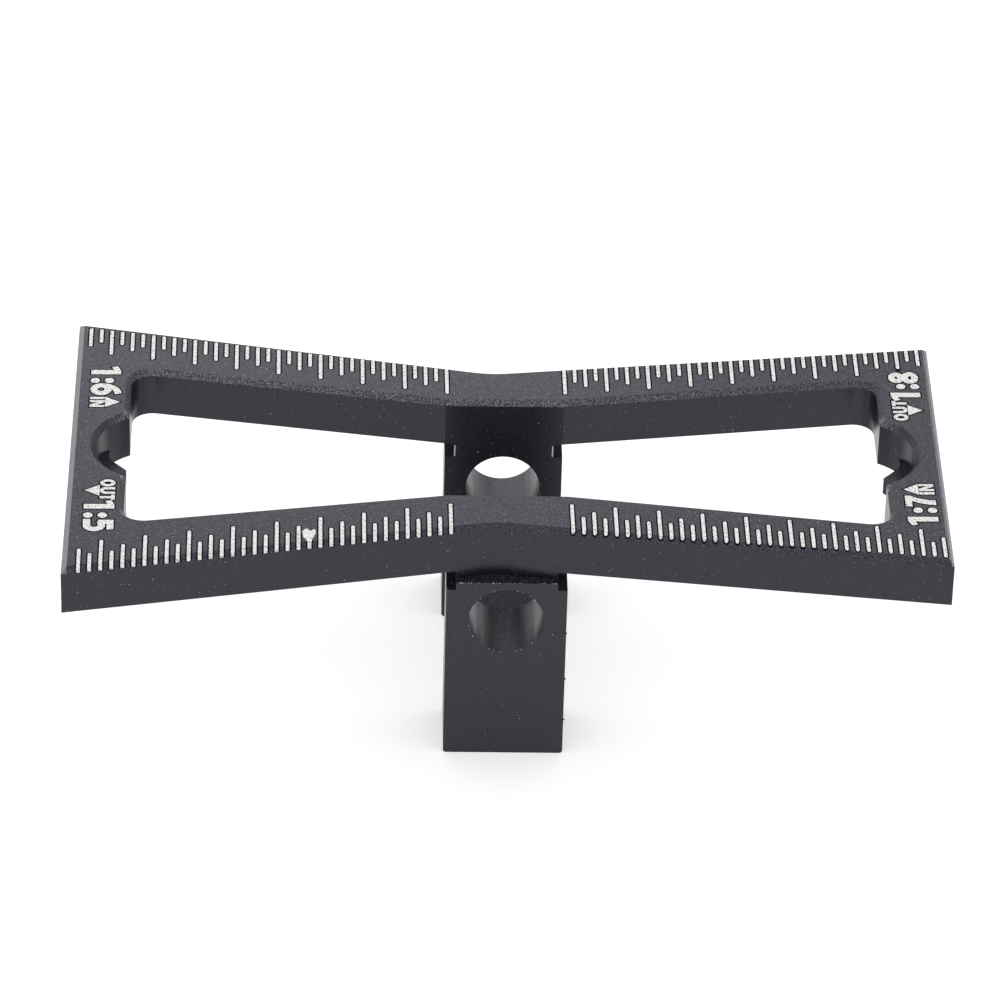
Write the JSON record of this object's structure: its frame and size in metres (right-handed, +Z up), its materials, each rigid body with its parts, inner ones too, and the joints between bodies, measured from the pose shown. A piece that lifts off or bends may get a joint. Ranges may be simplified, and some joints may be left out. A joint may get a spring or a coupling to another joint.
{
  "type": "dovetail marker",
  "caption": "Bow-tie dovetail marking gauge with sloped outer and window edges, engraved graduations and a split fence below its waist.",
  "frame": {"origin": "on the surface that the fence's feet stand on, midway between the fence's two side faces and midway between its two outer faces", "axes": "+X along the bow tie from the 1:5 and 1:6 arm to the 1:8 and 1:7 arm, +Y across it along the cross bore, +Z up from the feet to the graduated top face"},
  "size_m": [0.0646, 0.033, 0.0198],
  "materials": {
    "black_anodised_aluminium": "satin black anodised, with a milled grain and light engraved marks"
  },
  "bodies": {
    "root": {"body": "black_anodised_aluminium"}
  },
  "joints": []
}
